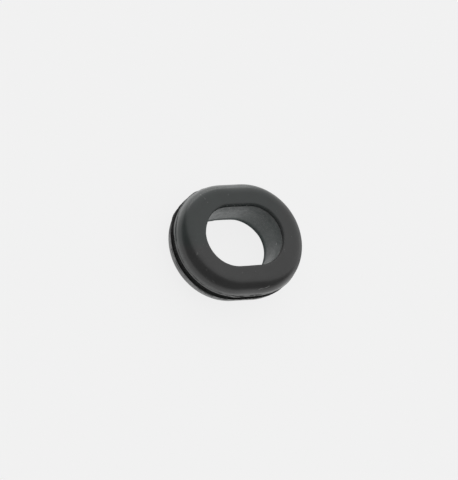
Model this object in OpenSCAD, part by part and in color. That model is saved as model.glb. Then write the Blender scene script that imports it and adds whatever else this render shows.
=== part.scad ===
// Oval rubber grommet, moulded in one piece, that lines a slotted hole in sheet metal.
//
// Millimetres. The grommet lies on the face of one flange: the origin is the centre of that
// face, +Z runs along the cable hole and +X along the long axis. One section, drawn once, goes
// round an oval path of two half turns and two straight flats.

/* [Cable hole] */
// Width of the cable hole across its flats, at the upper mouth
hole_w = 14; // [10:0.1:16]
// Length of the flats, which is the distance between the centres of the round ends
straight_l = 5.1; // [1:0.1:20]
// How far the wall of the hole has drawn in by the lower mouth, for the mould's core to leave
hole_draft = 0.15; // [0:0.01:0.4]
// Radius of the rounded lip at each mouth of the cable hole
lip_r = 0.5; // [0.1:0.05:0.8]

/* [Panel groove] */
// Width of the panel cut-out, which is the width of the groove's floor across its flats
cutout_w = 20; // [18:0.1:22]
// Thickness of the panel that the groove takes
panel_t = 1.6; // [0.8:0.1:4]
// Radius of the fillets along the groove's floor
groove_fillet_r = 0.3; // [0.05:0.05:0.35]

/* [Flanges] */
// Width of both flanges across their flats, at the edge of the groove
flange_w = 26.1; // [25:0.1:36]
// Thickness of each flange, from the panel to its outer face
flange_t = 4.1; // [3.4:0.1:8]
// Radius of the rounding between a flange's outer face and its side
edge_r = 3.2; // [1:0.1:4]
// Draft of a flange's side in degrees: how far it leans in between the groove and the rounding
side_draft = 10; // [2:0.5:20]

/* [Mould lines] */
// Distance of the mould's parting line from the groove, on each flange
parting_gap = 0.5; // [0.2:0.05:1]
// Height of the flash ridge left along the parting line
flash_h = 0.06; // [0.02:0.01:0.15]
// Width of the flash ridge at its root
flash_w = 0.16; // [0.06:0.02:0.3]

/* [Hidden] */

// Steps of a half turn, of a flange's rounding, and of a lip or fillet
turn_steps = 144;
edge_steps = 20;
arc_steps = 5;

floor_r = cutout_w / 2;
flange_r = flange_w / 2;
upper_mouth_r = hole_w / 2;
lower_mouth_r = upper_mouth_r - hole_draft;
height = 2 * flange_t + panel_t;
groove_top = flange_t + panel_t;

// Points of an arc about a centre, from one angle to another
function arc(centre, r, from, to, steps) = [
    for (i = [0 : steps])
        let (a = from + (to - from) * i / steps)
        centre + r * [cos(a), sin(a)]
];

// Point on the drafted side of the upper flange, at a distance from the groove
function side_point(gap) = [flange_r - gap * tan(side_draft), groove_top + gap];

// The rounding of the upper flange touches the outer face and the drafted side, and leaves
// room for the parting line between itself and the groove
side_l = max(flange_t - edge_r * (1 - sin(side_draft)), parting_gap + flash_w);
rounding_r = (flange_t - side_l) / (1 - sin(side_draft));
rounding_centre = [side_point(side_l)[0] - rounding_r * cos(side_draft), height - rounding_r];

// The upper half of the section, from the groove's floor out, over the flange and into the hole
function upper_half(mouth_r) = concat(
    arc([floor_r + groove_fillet_r, groove_top - groove_fillet_r], groove_fillet_r, 180, 90, arc_steps),
    [side_point(0), side_point(parting_gap - flash_w / 2)],
    [side_point(parting_gap) + [flash_h, 0]],
    [side_point(parting_gap + flash_w / 2)],
    arc(rounding_centre, rounding_r, side_draft, 90, edge_steps),
    arc([mouth_r + lip_r, height - lip_r], lip_r, 90, 180, arc_steps)
);

// The lower half: the same outline turned over, with its points in the opposite order
function lower_half(mouth_r) = let (points = upper_half(mouth_r), last = len(points) - 1) [
    for (i = [last : -1 : 0]) [points[i][0], height - points[i][1]]
];

module section() {
    polygon(concat(upper_half(upper_mouth_r), lower_half(lower_mouth_r)));
}

// One round end of the oval, on the +X side
module round_end() {
    translate([straight_l / 2, 0, 0])
        rotate([0, 0, -90])
            rotate_extrude(angle = 180, $fn = turn_steps)
                section();
}

// One straight flat of the oval, on the +Y side
module flat_side() {
    translate([-straight_l / 2, 0, 0])
        rotate([90, 0, 90])
            linear_extrude(height = straight_l)
                section();
}

module grommet() {
    color("#383a39") union() {
        round_end();
        mirror([1, 0, 0]) round_end();
        flat_side();
        mirror([0, 1, 0]) flat_side();
    }
}

grommet();
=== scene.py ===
"""Looks of the oval rubber grommet: its moulded skin, its rubber, and a plain studio round it.

Metres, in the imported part's frame: the grommet lies on z = 0, +Z along its cable hole and +X along
its long axis.
"""

import math

import bpy
from mathutils import Matrix, Vector, noise


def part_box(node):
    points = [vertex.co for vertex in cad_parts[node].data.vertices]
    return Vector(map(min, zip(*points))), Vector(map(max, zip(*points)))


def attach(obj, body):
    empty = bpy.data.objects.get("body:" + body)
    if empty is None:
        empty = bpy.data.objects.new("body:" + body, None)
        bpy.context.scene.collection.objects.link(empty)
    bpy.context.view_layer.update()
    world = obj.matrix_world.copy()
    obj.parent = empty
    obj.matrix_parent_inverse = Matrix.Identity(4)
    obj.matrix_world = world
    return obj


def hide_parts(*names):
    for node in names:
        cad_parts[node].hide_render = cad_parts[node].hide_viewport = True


MM = 0.001

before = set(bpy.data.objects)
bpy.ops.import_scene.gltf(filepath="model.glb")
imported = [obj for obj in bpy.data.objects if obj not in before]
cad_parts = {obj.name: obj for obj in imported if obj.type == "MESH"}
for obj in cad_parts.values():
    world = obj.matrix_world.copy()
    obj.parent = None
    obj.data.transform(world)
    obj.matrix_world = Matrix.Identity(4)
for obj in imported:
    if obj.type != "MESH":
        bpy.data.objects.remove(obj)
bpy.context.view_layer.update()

# ---------------------------------------------------------------- sizes

LOW, HIGH = (Vector(corner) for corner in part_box("grommet"))
HEIGHT = HIGH.z - LOW.z
FLANGE_R = (HIGH.y - LOW.y) / 2
STRAIGHT = (HIGH.x - LOW.x) - 2 * FLANGE_R
CENTRE = Vector((0.0, 0.0, HEIGHT / 2))

# As the part's source has them.
PANEL_T = 1.6 * MM
FLANGE_T = (HEIGHT - PANEL_T) / 2
GROOVE_FLOOR_R = 10.0 * MM
GROOVE_FILLET_R = 0.3 * MM
EDGE_R = 3.2 * MM
SIDE_DRAFT = math.radians(10)
SIDE_L = FLANGE_T - EDGE_R * (1 - math.sin(SIDE_DRAFT))
PARTING_GAP = 0.5 * MM
FLASH_H = 0.06 * MM
FLASH_W = 0.16 * MM
LIP_R = 0.5 * MM
LOWER_MOUTH_R = 6.85 * MM

# Finer forms that only the skin has: a notch beside the flash, an undercut at the upper flange's
# groove edge, and an upper mouth that is a little closed.
NOTCH_W = 0.26 * MM
NOTCH_DEPTH = 0.05 * MM
UNDERCUT = 0.08 * MM
UPPER_MOUTH_R = 6.99 * MM

# Points nearer than this count as being at the same place on the section.
CLOSE = 0.01 * MM


# ---------------------------------------------------------------- section of the skin

FILLET_STEPS = 4
GROOVE_STEPS = 5
FOOT_STEPS = 4
SIDE_STEPS = 6
ROUNDING_STEPS = 30
FACE_STEPS = 8
LIP_STEPS = 12
WALL_STEPS = 14
GROOVE_FLOOR_STEPS = 4


def arc(centre, radius, start, stop, steps):
    """Section points (r, z) on an arc between two angles in degrees."""
    points = []
    for i in range(steps + 1):
        a = math.radians(start + (stop - start) * i / steps)
        points.append((centre[0] + radius * math.cos(a), centre[1] + radius * math.sin(a)))
    return points


def between(start, stop, steps):
    """Points strictly between two section points."""
    return [
        tuple(a + (b - a) * i / steps for a, b in zip(start, stop))
        for i in range(1, steps)
    ]


def side_point(gap, out=0.0):
    """Point on the upper flange's drafted side, or further out, at a height above the groove."""
    return FLANGE_R - gap * math.tan(SIDE_DRAFT) + out, FLANGE_T + PANEL_T + gap


def flash_and_notch():
    """Section from the flash's foot over its ridge and the notch to the plain side."""
    half = FLASH_W / 2
    return [
        side_point(PARTING_GAP - half),
        side_point(PARTING_GAP, FLASH_H),
        side_point(PARTING_GAP + half),
        side_point(PARTING_GAP + half + NOTCH_W / 2, -NOTCH_DEPTH),
        side_point(PARTING_GAP + half + NOTCH_W),
    ]


def upper_half(mouth_r, undercut):
    """Section from the groove's floor out over the flange and down to the middle of the hole."""
    fillet_centre = (GROOVE_FLOOR_R + GROOVE_FILLET_R, FLANGE_T + PANEL_T - GROOVE_FILLET_R)
    fillet = arc(fillet_centre, GROOVE_FILLET_R, 180, 90, FILLET_STEPS)
    groove_edge = side_point(0, -undercut)
    seam = flash_and_notch()
    rounding_centre = (side_point(SIDE_L)[0] - EDGE_R * math.cos(SIDE_DRAFT), HEIGHT - EDGE_R)
    rounding = arc(rounding_centre, EDGE_R, math.degrees(SIDE_DRAFT), 90, ROUNDING_STEPS)
    lip = arc((mouth_r + LIP_R, HEIGHT - LIP_R), LIP_R, 90, 180, LIP_STEPS)
    return (
        fillet
        + between(fillet[-1], groove_edge, GROOVE_STEPS)
        + [groove_edge]
        + between(groove_edge, seam[0], FOOT_STEPS)
        + seam
        + between(seam[-1], rounding[0], SIDE_STEPS)
        + rounding
        + between(rounding[-1], lip[0], FACE_STEPS)
        + lip
    )


def section():
    """The whole section, a closed loop of (r, z)."""
    upper = upper_half(UPPER_MOUTH_R, UNDERCUT)
    lower = [(r, HEIGHT - z) for r, z in reversed(upper_half(LOWER_MOUTH_R, 0.0))]
    wall = between(upper[-1], lower[0], WALL_STEPS)
    groove_floor = between(lower[-1], upper[0], GROOVE_FLOOR_STEPS)
    return upper + wall + lower + groove_floor


# ---------------------------------------------------------------- wear and flash

# Places where a form differs, in millimetres: x, y, how much, and how far it reaches along the rim.
# First where the hole's upper and lower mouths are closed, or opened by an amount below 0.
UPPER_CLOSED = [
    (2.6, -7.0, 0.06, 3.0),
    (-9.0, 3.3, 0.07, 2.4),
]
LOWER_CLOSED = [
    (-4.0, 6.8, 0.17, 2.6),
    (0.6, 6.9, -0.05, 2.4),
    (6.8, 5.3, 0.11, 3.5),
    (9.0, -3.3, 0.04, 2.2),
]

# Where the upper flash tore and left a deeper notch, and where it hangs over the groove.
TEARS = [
    (-15.0, 3.5, 0.70, 3.2),
    (-3.0, -12.9, 0.45, 1.6),
    (2.0, -12.9, 0.08, 2.0),
]
HANGING = [
    (-14.6, 4.6, 0.34, 3.0),
    (-13.0, 7.6, 0.10, 2.0),
    (-3.1, -12.95, 0.30, 1.8),
]

# Where the upper parting line dips, and where the groove's lower edge is sunken.
DIPPING = [
    (-2.6, -12.9, 0.34, 1.8),
]
SUNKEN = [
    (-9.8, -10.2, 0.12, 4.2),
]

# Where both flanges are narrower, where the upper one is wider, and where flash stands out.
NARROWED = [
    (4.8, -12.7, 0.12, 3.8),
    (-5.4, -12.6, 0.07, 4.0),
]
WIDENED = [
    (-9.4, 10.8, 0.12, 3.0),
]
UPPER_STANDING = [
    (-9.4, 10.8, 0.08, 2.4),
]
LOWER_STANDING = [
    (-13.4, 7.2, 0.20, 2.4),
]

# A tear opens by this share of its depth.
TEAR_OPENING = 0.12

# Flash height and notch depth along the rim, as shares of the plain ones, and how far the parting
# line strays. Waves are counted in each metre.
FLASH_WAVES, CRUMB_WAVES, CRUMB_SHARE = 900, 2600, 0.6
FLASH_MEAN, FLASH_SPREAD = 0.75, 1.1
FLASH_LEAST, FLASH_MOST = 0.1, 1.35
NOTCH_WAVES = 450
NOTCH_MEAN, NOTCH_SPREAD, NOTCH_LEAST = 0.5, 0.9, 0.1
STRAY_WAVES = 300
STRAY = 0.09 * MM

# Rows of the noise, so that the two flanges and the notch don't repeat each other.
UPPER_ROW, LOWER_ROW = 3.0, -3.0

# Towards +X and +Y the hole's upper lip is worn wider and deeper. The mouth is a little closed
# there, and at its -X end.
WORN_TOWARDS = Vector((0.45, 0.89))
WORN_FROM, WORN_TO = 2.4 * MM, 5.0 * MM
WORN_LIP_W = 0.85 * MM
WORN_LIP_H = 0.95 * MM
WORN_MOUTH_R = 6.91 * MM
LEFT_FROM, LEFT_TO = 7.0 * MM, 9.2 * MM
LEFT_MOUTH_R = 6.96 * MM


def bump(places, x, y):
    """Height in metres, at (x, y) in metres, of the round bumps in a list of places."""
    height = 0.0
    for px, py, amount, reach in places:
        away = math.hypot(x / MM - px, y / MM - py)
        height += amount * max(0.0, 1 - (away / reach) ** 2)
    return height * MM


def wave(x, y, waves, row):
    """Smooth unevenness along the rim, from -1 to 1."""
    return noise.noise(Vector((x * waves, y * waves, row)))


def ragged(x, y, upper):
    """Height of the flash, depth of the notch beside it and stray of the parting line at a place."""
    row = UPPER_ROW if upper else LOWER_ROW
    uneven = wave(x, y, FLASH_WAVES, row) + CRUMB_SHARE * wave(x, y, CRUMB_WAVES, row)
    flash_h = FLASH_H * min(max(FLASH_MEAN + FLASH_SPREAD * uneven, FLASH_LEAST), FLASH_MOST)
    flash_h += bump(UPPER_STANDING if upper else LOWER_STANDING, x, y)
    uneven = wave(x, y, NOTCH_WAVES, 2 * row)
    cut = NOTCH_DEPTH * max(NOTCH_MEAN + NOTCH_SPREAD * uneven, NOTCH_LEAST)
    stray = STRAY * wave(x, y, STRAY_WAVES, row)
    if upper:
        cut += bump(TEARS, x, y)
        stray -= bump(DIPPING, x, y)
    return flash_h, cut, stray


def widening(x, y, gap, upper):
    """How far the flange's side stands out at a place, most of all at the groove."""
    wider = -bump(NARROWED, x, y)
    if upper:
        wider += bump(WIDENED, x, y)
    return wider * (SIDE_L - gap) / SIDE_L


def shift(x, y, gap, stray, upper):
    """How far a point of the side moves away from the groove, with the parting line and tears."""
    if gap < PARTING_GAP:
        away = stray * gap / PARTING_GAP
    else:
        away = stray * (SIDE_L - gap) / (SIDE_L - PARTING_GAP)
    head_gap = PARTING_GAP + FLASH_W / 2
    if upper and gap > head_gap:
        over_notch = (gap - head_gap) / NOTCH_W
        under_rounding = (SIDE_L - gap) / (SIDE_L - head_gap - NOTCH_W)
        away += TEAR_OPENING * bump(TEARS, x, y) * min(over_notch, under_rounding)
    return away


def with_ragged_flash(r, z, x, y):
    """Move a section point near a parting line as the moulding has it at this place."""
    upper = z > HEIGHT / 2
    gap = abs(z - HEIGHT / 2) - PANEL_T / 2
    side_r = FLANGE_R - gap * math.tan(SIDE_DRAFT)
    if gap >= SIDE_L or gap < -CLOSE or r < side_r - UNDERCUT - CLOSE:
        return r, z
    wider = widening(x, y, gap, upper)
    if gap < CLOSE:
        return r + wider, z - bump(HANGING if upper else SUNKEN, x, y)
    flash_h, cut, stray = ragged(x, y, upper)
    if r > side_r + CLOSE:
        r += flash_h - FLASH_H
    elif r < side_r - CLOSE and gap > PARTING_GAP:
        r -= cut - NOTCH_DEPTH
    away = shift(x, y, gap, stray, upper)
    return r + wider - away * math.tan(SIDE_DRAFT), z + (away if upper else -away)


def share(value, start, end):
    """How far a value has gone from start to end, from 0 to 1 and smooth at both."""
    part = min(max((value - start) / (end - start), 0.0), 1.0)
    return part * part * (3 - 2 * part)


def with_worn_hole(r, z, x, y):
    """Move a section point of the hole's lips and wall as they are worn at this place."""
    if r > UPPER_MOUTH_R + LIP_R + CLOSE:
        return r, z
    worn = share(Vector((x, y)).dot(WORN_TOWARDS), WORN_FROM, WORN_TO)
    left = share(-x, LEFT_FROM, LEFT_TO)
    upper = worn * (WORN_MOUTH_R - UPPER_MOUTH_R) + left * (LEFT_MOUTH_R - UPPER_MOUTH_R)
    upper -= bump(UPPER_CLOSED, x, y)
    depth = HEIGHT - z
    if depth < LIP_R:
        wide = 1 + worn * (WORN_LIP_W / LIP_R - 1)
        deep = 1 + worn * (WORN_LIP_H / LIP_R - 1)
        return UPPER_MOUTH_R + upper + (r - UPPER_MOUTH_R) * wide, HEIGHT - depth * deep
    lower = -bump(LOWER_CLOSED, x, y)
    up = max((z - LIP_R) / (HEIGHT - 2 * LIP_R), 0.0)
    return r + upper * up + lower * (1 - up), z


# ---------------------------------------------------------------- mesh of the skin

END_COLUMNS = 192
FLAT_COLUMNS = 24
SHARP_ANGLE = math.radians(35)


def oval_columns():
    """Places round the oval: the centre of the turn and the outward direction at each."""
    half = STRAIGHT / 2
    columns = []
    for side in (1, -1):
        for i in range(END_COLUMNS):
            a = math.radians(-90 + 180 * i / END_COLUMNS)
            columns.append((half * side, side * math.cos(a), side * math.sin(a)))
        for i in range(FLAT_COLUMNS):
            columns.append((side * (half - STRAIGHT * i / FLAT_COLUMNS), 0.0, float(side)))
    return columns


def skin_point(r, z, column):
    """Place of a section point in one column of the oval, kept inside the part's box."""
    turn_x, out_x, out_y = column
    r, z = with_ragged_flash(r, z, turn_x + r * out_x, r * out_y)
    r, z = with_worn_hole(r, z, turn_x + r * out_x, r * out_y)
    x = min(max(turn_x + r * out_x, LOW.x), HIGH.x)
    y = min(max(r * out_y, LOW.y), HIGH.y)
    return x, y, z


def ring_faces(columns, rows):
    """Four-sided faces of a closed ring of closed loops, all facing outwards."""
    faces = []
    for c in range(columns):
        n = (c + 1) % columns
        for k in range(rows):
            m = (k + 1) % rows
            faces.append((c * rows + k, n * rows + k, n * rows + m, c * rows + m))
    return faces


def grommet_mesh():
    """The section taken round the oval, with the wear of each place."""
    loop = section()
    columns = oval_columns()
    verts = [skin_point(r, z, column) for column in columns for r, z in loop]
    mesh = bpy.data.meshes.new("grommet_skin")
    mesh.from_pydata(verts, [], ring_faces(len(columns), len(loop)))
    mesh.validate()
    mesh.shade_smooth()
    mesh.set_sharp_from_angle(angle=SHARP_ANGLE)
    return mesh


# ---------------------------------------------------------------- material nodes

class Shades:
    """A material's nodes, with one short call for each kind of node used here."""

    def __init__(self, name):
        self.material = bpy.data.materials.new(name)
        self.material.use_nodes = True
        self.tree = self.material.node_tree
        self.tree.nodes.clear()
        self.out = self.add("ShaderNodeOutputMaterial")

    def add(self, kind, **settings):
        node = self.tree.nodes.new(kind)
        for name, value in settings.items():
            setattr(node, name, value)
        return node

    def feed(self, socket, value):
        """Link a socket to another node's, or set it to a number, a vector or a colour."""
        if isinstance(value, bpy.types.NodeSocket):
            self.tree.links.new(value, socket)
        else:
            socket.default_value = value

    def math(self, operation, *values, clamp=False):
        node = self.add("ShaderNodeMath", operation=operation, use_clamp=clamp)
        for socket, value in zip(node.inputs, values):
            self.feed(socket, value)
        return node.outputs[0]

    def vector(self, operation, *values, output="Vector"):
        node = self.add("ShaderNodeVectorMath", operation=operation)
        for socket, value in zip(node.inputs, values):
            self.feed(socket, value)
        return node.outputs[output]

    def scaled(self, vector, factor):
        scaled = self.vector("SCALE", vector)
        self.feed(scaled.node.inputs["Scale"], factor)
        return scaled

    def towards(self, point, direction):
        """How far a point lies in a direction."""
        return self.vector("DOT_PRODUCT", point, direction, output="Value")

    def distance(self, point, other):
        return self.vector("DISTANCE", point, other, output="Value")

    def fade(self, value, start, stop, low=0.0, high=1.0):
        """Smooth change from low at start to high at stop."""
        node = self.add("ShaderNodeMapRange", interpolation_type="SMOOTHSTEP")
        for socket, number in zip(node.inputs, (value, start, stop, low, high)):
            self.feed(socket, number)
        return node.outputs[0]

    def product(self, *values):
        result = values[0]
        for value in values[1:]:
            result = self.math("MULTIPLY", result, value)
        return result

    def total(self, *values):
        result = values[0]
        for value in values[1:]:
            result = self.math("ADD", result, value)
        return result

    def noise(self, place, scale, detail, roughness=0.5):
        node = self.add("ShaderNodeTexNoise")
        self.feed(node.inputs["Vector"], place)
        node.inputs["Scale"].default_value = scale
        node.inputs["Detail"].default_value = detail
        node.inputs["Roughness"].default_value = roughness
        return node.outputs["Fac"]

    def grey_vector(self, value):
        node = self.add("ShaderNodeCombineXYZ")
        for socket in node.inputs:
            self.feed(socket, value)
        return node.outputs[0]

    def mix(self, factor, first, second):
        """Mix of two colours. Of the mix node's sockets, 6, 7 and output 2 are those for colours."""
        node = self.add("ShaderNodeMix", data_type="RGBA")
        self.feed(node.inputs["Factor"], factor)
        self.feed(node.inputs[6], first)
        self.feed(node.inputs[7], second)
        return node.outputs[2]


# From here to the floor's material, lengths and places are in millimetres on the grommet, and a pair
# of numbers is where a look begins to fade in and where it is full.
WALL_FADE = (0.55, 0.2)
OUTSIDE_FADE = (9.5, 10.5)
GROOVE_SIDE_FADE = (0.1, -0.02)
GROOVE_EDGE_FADE = (12.9, 12.2)


class Places:
    """Where a point of the skin is, and the masks for the grommet's regions."""

    def __init__(self, shades):
        coordinates = shades.add("ShaderNodeTexCoord").outputs["Object"]
        self.point = shades.scaled(coordinates, 1 / MM)
        axes = shades.add("ShaderNodeSeparateXYZ")
        shades.feed(axes.inputs[0], self.point)
        self.x, self.y, self.height = axes.outputs
        self.radius = self.distance_from_turn(shades)
        off_middle = shades.math("SUBTRACT", self.height, HEIGHT / 2 / MM)
        self.gap = shades.math("SUBTRACT", shades.math("ABSOLUTE", off_middle), PANEL_T / 2 / MM)
        past_mouth = shades.math("SUBTRACT", self.radius, UPPER_MOUTH_R / MM)
        self.wall = shades.fade(past_mouth, *WALL_FADE)
        self.outside = shades.fade(self.radius, *OUTSIDE_FADE)
        self.groove = shades.product(
            self.outside,
            shades.fade(self.gap, *GROOVE_SIDE_FADE),
            shades.fade(self.radius, *GROOVE_EDGE_FADE),
        )

    def distance_from_turn(self, shades):
        """Distance from the nearest point of the line between the centres of the two turns."""
        past_flat = shades.math("SUBTRACT", shades.math("ABSOLUTE", self.x), STRAIGHT / 2 / MM)
        across = shades.add("ShaderNodeCombineXYZ")
        shades.feed(across.inputs[0], shades.math("MAXIMUM", past_flat, 0.0))
        shades.feed(across.inputs[1], self.y)
        return shades.vector("LENGTH", across.outputs[0], output="Value")


# ---------------------------------------------------------------- bloomed rubber, dust, marks and painted light

# Pale colour for the bloomed skin and dust, and for the light and highlights painted into the
# rubber.
BLOOM_AND_LIGHT_COLOUR = (0.60, 0.62, 0.61, 1)

# Partly bloomed rubber and partly a painted highlight: a pale band along each flange's side by its
# parting line.
SEAM_BLOOM_AND_HIGHLIGHT = 0.16
SEAM_INWARD = (0.12, 0.03)
SEAM_FOOT = (0.25, 0.75)
SEAM_HEAD = (1.8, 0.8)

GROOVE_CHALK = 0.15

# Painted glints on the hole's wall, for the sparkle of its fine texture.
WALL_PAINTED_GLINTS = 0.27
SPARKLE_MIDDLE = (-1.0, 6.9, 8.0)
SPARKLE_FADE = (7.0, 2.0)

# Painted light: a paler stretch of the upper flange's side and rounding, where more light falls.
SIDE_LIGHT_PAINT = 0.22
SIDE_LIGHT_TOWARDS = (-0.35, 0.94, 0.0)
SIDE_LIGHT_FADE = (7.0, 12.5)
SIDE_LIGHT_FOOT = (6.0, 7.0)
SIDE_LIGHT_UP = (-0.09, 0.0, 1.0)
SIDE_LIGHT_HEAD = (10.1, 8.5)

# Painted light on a stretch of the lower flange's side.
LOW_LIGHT_PAINT = 0.14
LOW_LIGHT_TOWARDS = (-0.42, -0.91, 0.0)
LOW_LIGHT_FADE = (11.6, 12.8)
LOW_LIGHT_HEAD = (4.12, 3.9)

DUST_CHALK = 0.10
# A speck is full within this share of its size.
SPECK_CORE = 0.3

# Light marks on the rubber: start and end, half width, and how strongly each shows.
MARKS = [
    ((-8.5, 10.3, 8.85), (-8.0, 8.9, 9.68), 0.18, 0.15),
    ((-7.7, 8.1, 9.8), (-7.6, 8.0, 9.8), 0.20, 0.07),
    ((-12.8, -3.8, 9.55), (-12.7, -3.5, 9.6), 0.30, 0.12),
    ((-2.1, 9.6, 9.8), (-2.05, 9.7, 9.8), 0.22, 0.09),
    ((-11.2, -7.5, 9.28), (-11.1, -7.3, 9.32), 0.22, 0.07),
    ((-9.8, -9.7, 8.6), (-9.4, -10.1, 8.5), 0.18, 0.08),
    ((-10.6, -9.7, 7.9), (-10.4, -9.5, 8.1), 0.20, 0.08),
    ((1.4, -12.3, 8.35), (2.2, -12.1, 8.6), 0.16, 0.32),
    ((2.3, -12.2, 8.4), (3.1, -12.0, 8.65), 0.16, 0.36),
    ((3.2, -12.1, 8.6), (3.9, -11.8, 8.85), 0.18, 0.32),
    ((9.38, -1.35, 6.4), (9.38, -1.25, 6.55), 0.30, 0.60),
    ((9.05, -2.5, 4.3), (9.03, -2.6, 4.5), 0.20, 0.25),
    ((9.45, -1.0, 8.9), (9.45, -0.9, 9.0), 0.20, 0.16),
    ((9.05, -3.85, 9.8), (9.1, -3.8, 9.8), 0.20, 0.12),
    ((-2.7, -8.7, 9.8), (-2.6, -8.6, 9.8), 0.20, 0.07),
    ((-4.2, -12.85, 5.65), (-2.0, -12.95, 5.65), 0.32, 0.40),
]


def stroke(shades, point, start, end, half_width):
    """Mask of a short straight mark between two points of the skin."""
    along = Vector(end) - Vector(start)
    from_start = shades.vector("SUBTRACT", point, start)
    part = shades.towards(from_start, along / along.length_squared)
    nearest = shades.scaled(along, shades.math("ADD", part, 0.0, clamp=True))
    return shades.fade(shades.distance(from_start, nearest), half_width, 0.0)


def marks(shades, places):
    """How strongly the marks show, all together."""
    shown = [
        shades.product(stroke(shades, places.point, start, end, half_width), strength)
        for start, end, half_width, strength in MARKS
    ]
    return shades.total(*shown)


def specks(shades, point, scale, part, size):
    """Small round specks: so many cells a millimetre, the part of them with one, its size."""
    cells = shades.add("ShaderNodeTexVoronoi")
    shades.feed(cells.inputs["Vector"], point)
    cells.inputs["Scale"].default_value = scale
    pick = shades.add("ShaderNodeSeparateColor")
    shades.feed(pick.inputs[0], cells.outputs["Color"])
    chosen = shades.math("GREATER_THAN", pick.outputs[0], 1 - part)
    round_speck = shades.fade(cells.outputs["Distance"], size, SPECK_CORE * size)
    return shades.product(round_speck, chosen)


def seam_bloom_and_highlight(shades, places, patches):
    """A pale band by each parting line, on the plain side but not down in a notch: partly bloomed
    rubber, partly a painted highlight where the side catches light.
    """
    draft = shades.product(places.gap, math.tan(SIDE_DRAFT))
    inward = shades.math("SUBTRACT", FLANGE_R / MM, shades.math("ADD", places.radius, draft))
    return shades.product(
        shades.fade(inward, *SEAM_INWARD),
        shades.fade(places.gap, *SEAM_FOOT),
        shades.fade(places.gap, *SEAM_HEAD),
        shades.fade(patches, 0.2, 0.8, low=0.75, high=1.25),
        SEAM_BLOOM_AND_HIGHLIGHT,
    )


def groove_bloom(shades, places, patches):
    """Bloom on the groove's sides and floor."""
    uneven = shades.fade(patches, 0.3, 0.7, low=0.7, high=1.3)
    return shades.product(places.groove, uneven, GROOVE_CHALK)


def wall_painted_glints(shades, places):
    """Painted glints: fine pale specks on the hole's wall for the sparkle of its fine texture, with
    coarser ones in one stretch under the upper lip.
    """
    glint_patches = shades.noise(places.point, scale=1.7, detail=3.0, roughness=0.7)
    coarse_glints = shades.product(
        specks(shades, places.point, scale=2.6, part=0.4, size=0.5),
        shades.fade(glint_patches, 0.40, 0.62, low=0.1, high=1.4),
        shades.fade(shades.distance(places.point, SPARKLE_MIDDLE), *SPARKLE_FADE),
    )
    fine_glints = shades.noise(places.point, scale=3.6, detail=4.0, roughness=0.8)
    fine_glints = shades.fade(fine_glints, 0.48, 0.72, high=0.5)
    return shades.product(places.wall, shades.total(coarse_glints, fine_glints), WALL_PAINTED_GLINTS)


def painted_side_light(shades, places, patches):
    """Painted light: a paler stretch of the upper flange's side and rounding, where more light falls
    on it.
    """
    return shades.product(
        places.outside,
        shades.fade(shades.towards(places.point, SIDE_LIGHT_TOWARDS), *SIDE_LIGHT_FADE),
        shades.fade(places.height, *SIDE_LIGHT_FOOT),
        shades.fade(shades.towards(places.point, SIDE_LIGHT_UP), *SIDE_LIGHT_HEAD),
        shades.fade(patches, 0.2, 0.8, low=0.8, high=1.2),
        SIDE_LIGHT_PAINT,
    )


def painted_low_light(shades, places):
    """Painted light: a paler stretch of the lower flange's side, where it catches light."""
    return shades.product(
        places.outside,
        shades.fade(shades.towards(places.point, LOW_LIGHT_TOWARDS), *LOW_LIGHT_FADE),
        shades.fade(places.height, *LOW_LIGHT_HEAD),
        LOW_LIGHT_PAINT,
    )


def bloom_and_painted_light(shades, places):
    """How much pale colour the rubber takes: its bloomed skin, dust and marks, and painted light and
    highlights.
    """
    patches = shades.noise(places.point, scale=0.7, detail=3.0)
    dust = specks(shades, places.point, scale=1.2, part=0.14, size=0.17)
    return shades.total(
        seam_bloom_and_highlight(shades, places, patches),
        groove_bloom(shades, places, patches),
        wall_painted_glints(shades, places),
        painted_side_light(shades, places, patches),
        shades.product(dust, DUST_CHALK),
        painted_low_light(shades, places),
        marks(shades, places),
    )


# ---------------------------------------------------------------- colour and roughness of the rubber

NEUTRAL_BLACK = (0.0130, 0.0130, 0.0130, 1)
GREENISH_BLACK = (0.0070, 0.0132, 0.0120, 1)
HOLE_GREEN = (0.001, 0.020, 0.017, 1)
GREENISH_TOWARDS = (0.04, 0.94, 0.33)
GREENISH_FADE = (-0.5, 2.5)
GREENISH_END = (0.88, -0.20, 0.44)
GREENISH_END_FADE = (13.5, 10.5)
GREENISH_FOOT = (5.2, 5.9)
HOLE_GREEN_HEAD = (9.2, 8.6)
LEAN_FADE = (-12.0, 8.0)

WALL_ROUGHER = 0.08
WALL_END_ROUGHER = 0.06
WALL_END_FADE = (3.0, 9.0)
WALL_END_SIDE = (-4.0, 1.5)
WALL_TOP_ROUGHER = 0.09
WALL_TOP_FADE = (5.0, 8.6)
WALL_FOOT_ROUGHER = 0.4
WALL_FOOT_FADE = (2.2, 0.5)

END_ROUGHER = 0.12
END_FADE = (9.0, 14.0)
END_HEAD = (9.3, 8.6)
CORNER_ROUGHER = 0.35
CORNER_TOWARDS = (-0.62, 0.78, 0.0)
CORNER_FADE = (11.2, 12.8)
CORNER_HEAD = (5.0, 4.2)
GROOVE_ROUGHER = 0.2

SPECULAR_LEVEL = 0.82
BUMP_STRENGTH = 0.5
# In metres, as the bump node takes it.
BUMP_HEIGHT = 0.016 * MM


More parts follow.
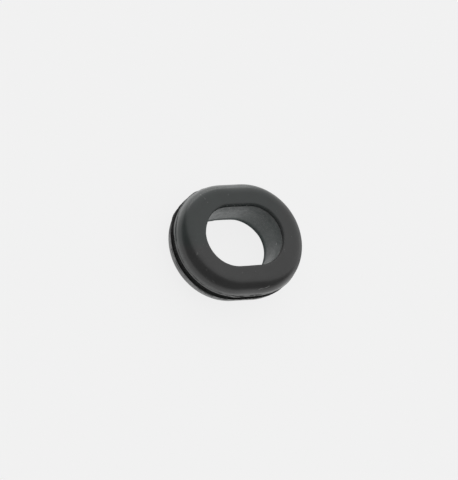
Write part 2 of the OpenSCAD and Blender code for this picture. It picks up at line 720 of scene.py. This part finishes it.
def rubber_colour(shades, places):
    """Black, faintly green on one side and neutral on the other, a little uneven all over, and paler
    towards -X than towards +X.
    """
    side = shades.product(
        shades.fade(shades.towards(places.point, GREENISH_TOWARDS), *GREENISH_FADE),
        shades.fade(shades.towards(places.point, GREENISH_END), *GREENISH_END_FADE, low=0.2),
        shades.fade(places.height, *GREENISH_FOOT),
    )
    tint = shades.mix(side, NEUTRAL_BLACK, GREENISH_BLACK)
    hole = shades.product(places.wall, shades.fade(places.height, *HOLE_GREEN_HEAD))
    tint = shades.mix(hole, tint, HOLE_GREEN)
    mottle = shades.noise(places.point, scale=0.35, detail=3.0)
    mottle = shades.fade(mottle, 0.3, 0.7, low=0.85, high=1.15)
    lean = shades.fade(places.x, *LEAN_FADE, low=1.25, high=0.85)
    return shades.vector("MULTIPLY", tint, shades.grey_vector(shades.product(mottle, lean)))


def wall_roughness(shades, places):
    """The hole's wall is duller than the flanges, most of all at its top and its lower edge."""
    mottle = shades.noise(places.point, scale=1.4, detail=3.0)
    end = shades.product(
        shades.fade(places.x, *WALL_END_FADE),
        shades.fade(places.y, *WALL_END_SIDE, low=-0.3),
        WALL_END_ROUGHER,
    )
    rougher = shades.total(
        WALL_ROUGHER,
        shades.fade(mottle, 0.35, 0.65, low=-0.03, high=0.05),
        end,
        shades.fade(places.height, *WALL_TOP_FADE, high=WALL_TOP_ROUGHER),
        shades.fade(places.height, *WALL_FOOT_FADE, high=WALL_FOOT_ROUGHER),
    )
    return shades.product(places.wall, rougher)


def end_roughness(shades, places):
    """The +X end is duller, more so on its side than on its face."""
    return shades.product(
        places.outside,
        shades.fade(places.x, *END_FADE, high=END_ROUGHER),
        shades.fade(places.height, *END_HEAD, low=1.0, high=2.2),
    )


def low_corner_roughness(shades, places):
    """A dull stretch of the lower flange's side."""
    return shades.product(
        shades.fade(shades.towards(places.point, CORNER_TOWARDS), *CORNER_FADE),
        shades.fade(places.height, *CORNER_HEAD),
        CORNER_ROUGHER,
    )


def rubber_roughness(shades, places):
    """Satin, with cloudy patches and the duller stretches."""
    clouds = shades.noise(places.point, scale=0.6, detail=3.0)
    return shades.total(
        shades.fade(clouds, 0.3, 0.7, low=0.285, high=0.325),
        wall_roughness(shades, places),
        end_roughness(shades, places),
        low_corner_roughness(shades, places),
        shades.product(places.groove, GROOVE_ROUGHER),
    )


def moulded_grain(shades, places):
    """Very fine unevenness of the moulded surface, as a bump."""
    grain = shades.add("ShaderNodeBump")
    grain.inputs["Strength"].default_value = BUMP_STRENGTH
    grain.inputs["Distance"].default_value = BUMP_HEIGHT
    height = shades.noise(places.point, scale=5.5, detail=4.0, roughness=0.6)
    shades.feed(grain.inputs["Height"], height)
    return grain.outputs[0]


def rubber_material():
    """Moulded black rubber, bloomed, with dust and rubbed marks on it and painted light and
    highlights in its colour.
    """
    shades = Shades("black_rubber")
    places = Places(shades)
    shader = shades.add("ShaderNodeBsdfPrincipled")
    shader.inputs["Specular IOR Level"].default_value = SPECULAR_LEVEL
    # The pale colour mixed in is bloomed skin, dust and marks, and painted light and highlights.
    colour = shades.mix(bloom_and_painted_light(shades, places), rubber_colour(shades, places), BLOOM_AND_LIGHT_COLOUR)
    shades.feed(shader.inputs["Base Color"], colour)
    shades.feed(shader.inputs["Roughness"], rubber_roughness(shades, places))
    shades.feed(shader.inputs["Normal"], moulded_grain(shades, places))
    shades.feed(shades.out.inputs[0], shader.outputs[0])
    return shades.material


# ---------------------------------------------------------------- floor

FLOOR_HALF = 3.0
FLOOR_PAINT = (0.8, 0.8, 0.8, 1)
FLOOR_GLOW = (0.937, 0.937, 0.937, 1)
FLOOR_GLOW_SHARE = 0.88


def floor_material():
    """Pale floor: a glow of its own for camera and glossy rays, and paint that takes the shadow."""
    shades = Shades("floor")
    shades.material.cycles.emission_sampling = "NONE"
    path = shades.add("ShaderNodeLightPath")
    seen = shades.math("MAXIMUM", path.outputs["Is Camera Ray"], path.outputs["Is Glossy Ray"])
    glow = shades.add("ShaderNodeEmission")
    glow.inputs["Color"].default_value = FLOOR_GLOW
    paint = shades.add("ShaderNodeBsdfDiffuse")
    paint.inputs["Color"].default_value = FLOOR_PAINT
    mix = shades.add("ShaderNodeMixShader")
    shades.feed(mix.inputs[0], shades.product(seen, FLOOR_GLOW_SHARE))
    shades.feed(mix.inputs[1], paint.outputs[0])
    shades.feed(mix.inputs[2], glow.outputs[0])
    shades.feed(shades.out.inputs[0], mix.outputs[0])
    return shades.material


def make_floor():
    """A wide plain square under the grommet."""
    half = FLOOR_HALF
    corners = [(-half, -half, 0), (half, -half, 0), (half, half, 0), (-half, half, 0)]
    mesh = bpy.data.meshes.new("floor")
    mesh.from_pydata(corners, [], [(0, 1, 2, 3)])
    mesh.materials.append(floor_material())
    floor = bpy.data.objects.new("floor", mesh)
    bpy.context.scene.collection.objects.link(floor)


# ---------------------------------------------------------------- camera and light

CAMERA_DISTANCE = 1.5
CAMERA_AZIMUTH = -150.36
CAMERA_ELEVATION = 56.48
CAMERA_ROLL = 52.77
CAMERA_CLIP = (0.01, 20)
SENSOR_WIDTH = 36.0
IMAGE_SIZE = (458, 480)
CENTRE_PIXEL = (235.37, 242.52)
PIXELS_PER_METRE = 4504.0

SOFT_AZIMUTH, SOFT_ELEVATION = 55, 36
SOFT_EDGE, SOFT_BLEND = 0.43, 0.12
SOFT_LEVEL = 0.85
FILL_LEVEL = 0.285

STRIP_AZIMUTH, STRIP_ELEVATION = 84, 1.5
STRIP_DISTANCE = 1.0
STRIP_SIZE = (1.1, 0.10)
STRIP_POWER = 1.0


def direction(azimuth, elevation):
    """Unit vector towards an azimuth and an elevation in degrees."""
    a, e = math.radians(azimuth), math.radians(elevation)
    return Vector((math.cos(e) * math.cos(a), math.cos(e) * math.sin(a), math.sin(e)))


def make_camera():
    """Camera turned and shifted so that the grommet's centre falls on its pixel."""
    data = bpy.data.cameras.new("camera")
    camera = bpy.data.objects.new("camera", data)
    bpy.context.scene.collection.objects.link(camera)
    back = direction(CAMERA_AZIMUTH, CAMERA_ELEVATION)
    level = Vector((0, 0, 1)).cross(back).normalized()
    turn = Matrix.Rotation(math.radians(CAMERA_ROLL), 3, back)
    right, up = turn @ level, turn @ back.cross(level)
    aside = (CENTRE_PIXEL[0] - IMAGE_SIZE[0] / 2) / PIXELS_PER_METRE
    below = (CENTRE_PIXEL[1] - IMAGE_SIZE[1] / 2) / PIXELS_PER_METRE
    place = CENTRE + back * CAMERA_DISTANCE - right * aside + up * below
    facing = Matrix((right, up, back)).transposed().to_4x4()
    camera.matrix_world = Matrix.Translation(place) @ facing
    data.sensor_width = SENSOR_WIDTH
    data.lens = PIXELS_PER_METRE * CAMERA_DISTANCE * SENSOR_WIDTH / max(IMAGE_SIZE)
    data.clip_start, data.clip_end = CAMERA_CLIP
    bpy.context.scene.camera = camera


def make_strip():
    """A long, low and weak lamp behind the grommet, which lights the flanges' sides."""
    data = bpy.data.lights.new("low_strip", "AREA")
    data.shape = "RECTANGLE"
    data.size, data.size_y = STRIP_SIZE
    data.energy = STRIP_POWER
    lamp = bpy.data.objects.new("low_strip", data)
    bpy.context.scene.collection.objects.link(lamp)
    back = direction(STRIP_AZIMUTH, STRIP_ELEVATION)
    lamp.location = CENTRE + back * STRIP_DISTANCE
    lamp.rotation_euler = back.to_track_quat("Z", "Y").to_euler()


def make_world():
    """One very large soft light behind the grommet and above it, and a weak fill from all round."""
    world = bpy.data.worlds.new("studio")
    bpy.context.scene.world = world
    world.use_nodes = True
    nodes, links = world.node_tree.nodes, world.node_tree.links
    background = nodes["Background"]
    background.inputs["Color"].default_value = (1, 1, 1, 1)
    place = nodes.new("ShaderNodeTexCoord")
    facing = nodes.new("ShaderNodeVectorMath")
    facing.operation = "DOT_PRODUCT"
    facing.inputs[1].default_value = direction(SOFT_AZIMUTH, SOFT_ELEVATION)
    level = nodes.new("ShaderNodeMapRange")
    level.interpolation_type = "SMOOTHSTEP"
    level.inputs["From Min"].default_value = SOFT_EDGE - SOFT_BLEND / 2
    level.inputs["From Max"].default_value = SOFT_EDGE + SOFT_BLEND / 2
    level.inputs["To Min"].default_value = FILL_LEVEL
    level.inputs["To Max"].default_value = SOFT_LEVEL
    links.new(place.outputs["Generated"], facing.inputs[0])
    links.new(facing.outputs["Value"], level.inputs["Value"])
    links.new(level.outputs[0], background.inputs["Strength"])


# ---------------------------------------------------------------- the scene

def make_grommet():
    """The skin as one piece that shows the grommet in place of the part's own mesh."""
    skin = bpy.data.objects.new("grommet_skin", grommet_mesh())
    bpy.context.scene.collection.objects.link(skin)
    skin.data.materials.append(rubber_material())
    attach(skin, "root")
    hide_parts("grommet")


make_grommet()
make_camera()
make_floor()
make_world()
make_strip()

bpy.context.scene.view_settings.view_transform = "Standard"
